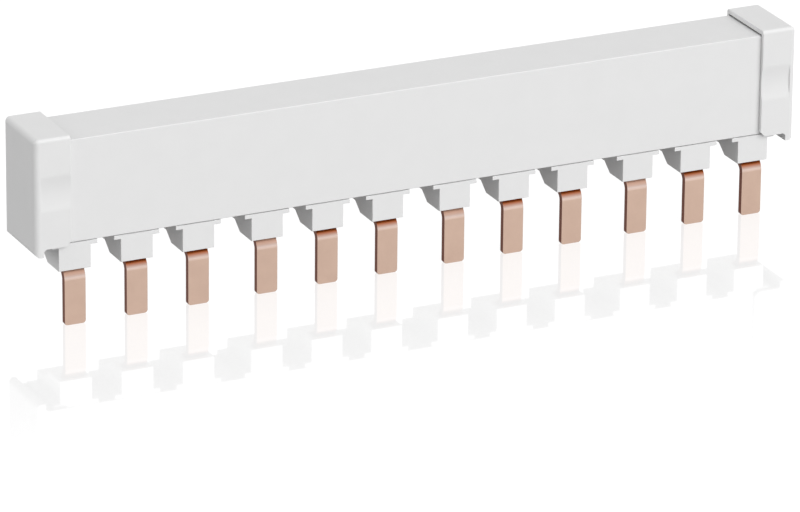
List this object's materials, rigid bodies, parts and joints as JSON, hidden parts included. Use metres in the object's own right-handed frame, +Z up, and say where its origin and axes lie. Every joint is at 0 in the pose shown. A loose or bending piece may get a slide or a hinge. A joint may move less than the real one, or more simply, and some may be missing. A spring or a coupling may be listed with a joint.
{
  "type": "comb busbar",
  "caption": "Insulated comb busbar: a long housing over three copper bars, whose flat pins stand in one row under moulded teeth, with an end cap at each end.",
  "frame": {"origin": "middle of the pin row at the pin tips, in the plane of the pins' front faces", "axes": "+X along the bar to the right as seen from the front, -Y out of the front face, +Z up from the pins to the housing"},
  "size_m": [0.1828, 0.0174, 0.0436],
  "materials": {
    "housing_plastic": "moulded, light grey",
    "base_plastic": "moulded, light grey",
    "cap_plastic": "moulded, light grey",
    "separator_plastic": "plain sheet",
    "copper": "bare rolled and punched copper"
  },
  "bodies": {
    "root": {"housing_cover": "housing_plastic", "comb_base": "base_plastic", "bar_l1": "copper", "bar_l2": "copper", "bar_l3": "copper", "separator_front": "separator_plastic", "separator_rear": "separator_plastic", "end_cap_left": "cap_plastic", "end_cap_right": "cap_plastic"}
  },
  "joints": []
}
